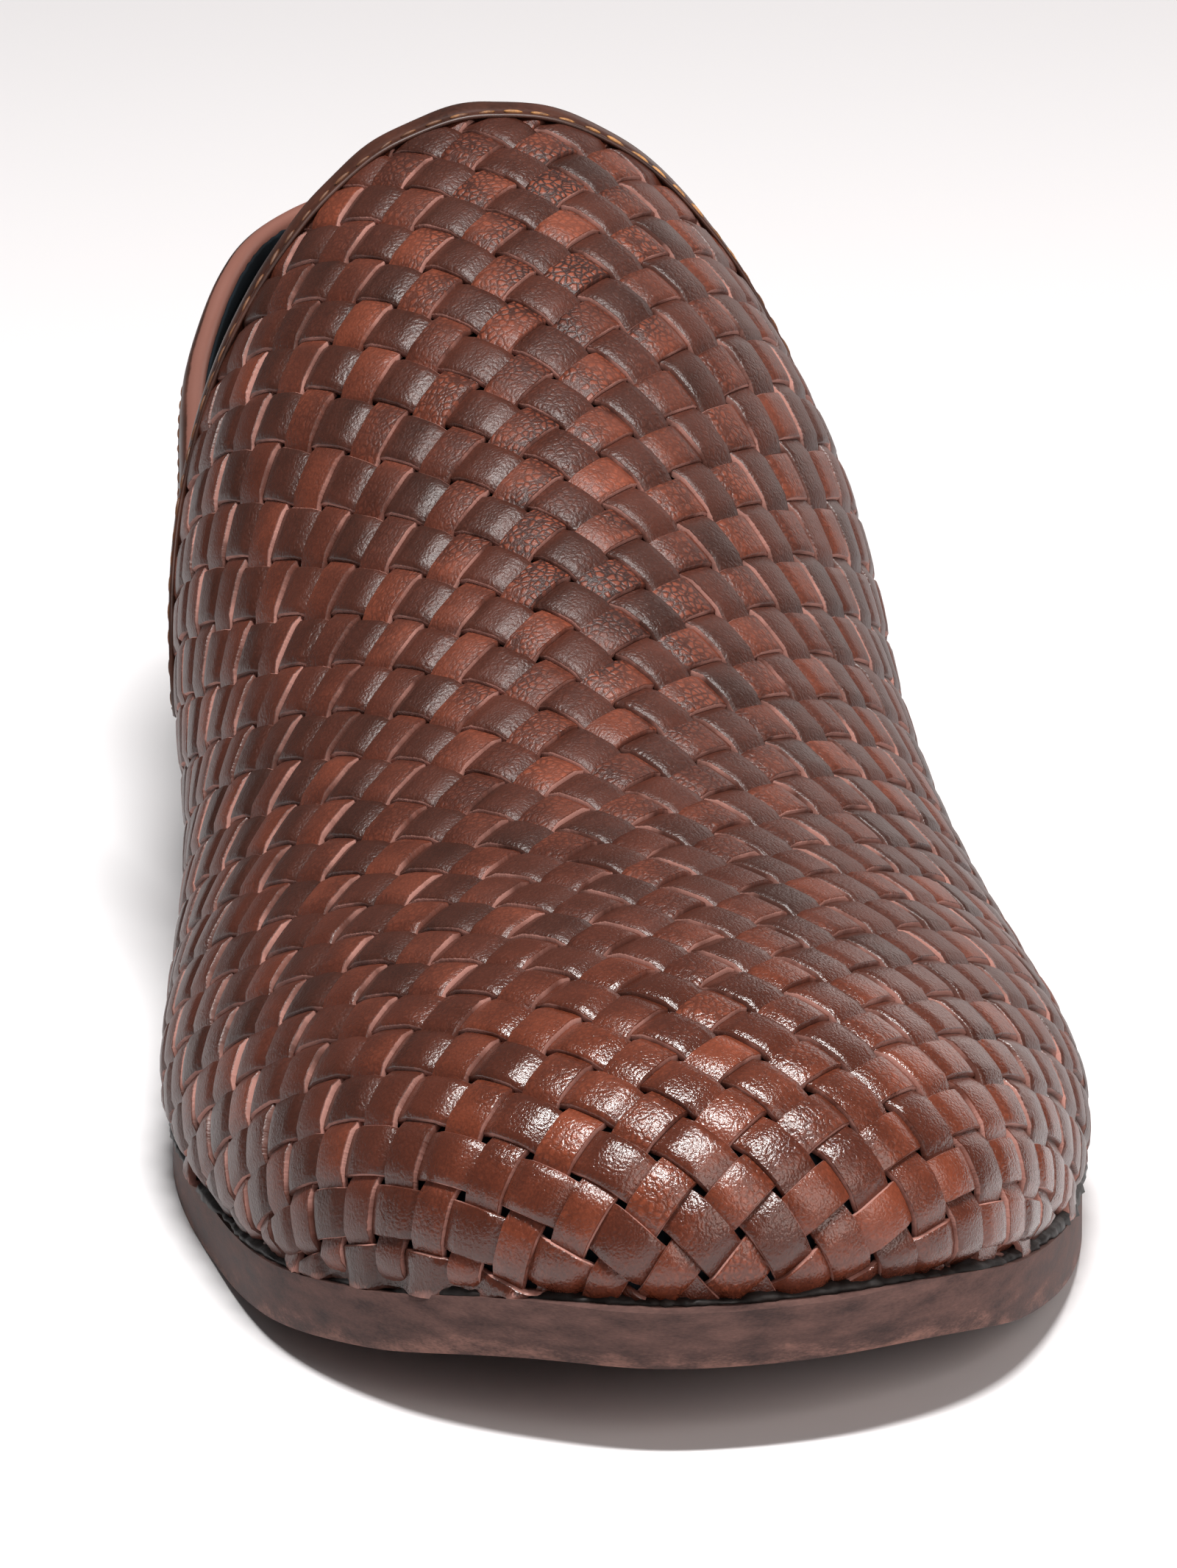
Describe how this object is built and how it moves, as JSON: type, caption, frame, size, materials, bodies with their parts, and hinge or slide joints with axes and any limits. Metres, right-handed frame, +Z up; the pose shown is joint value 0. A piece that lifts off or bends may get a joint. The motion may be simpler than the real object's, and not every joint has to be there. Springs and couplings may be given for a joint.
{
  "type": "woven leather slipper",
  "caption": "Low closed-heel slip-on of woven leather strips, with a round stitched throat, a curved toe, a flat leather sole and a low heel lift.",
  "frame": {"origin": "on the ground under the middle of the shoe's box", "axes": "-Y towards the toe, -X towards the inner side of the foot, +Z up"},
  "size_m": [0.0972, 0.283, 0.0918],
  "materials": {
    "woven_leather": "brown glazed leather strips with a crackled grain",
    "binding_leather": "smooth dark brown leather",
    "footbed_leather": "matte black leather",
    "sole_leather": "matte dark brown sole leather, lightly worn",
    "lift_leather": "matte dark brown stacked leather"
  },
  "bodies": {
    "root": {"woven_upper": "woven_leather", "topline_binding": "binding_leather", "insole": "footbed_leather", "outsole": "sole_leather", "heel_lift": "lift_leather"}
  },
  "joints": []
}
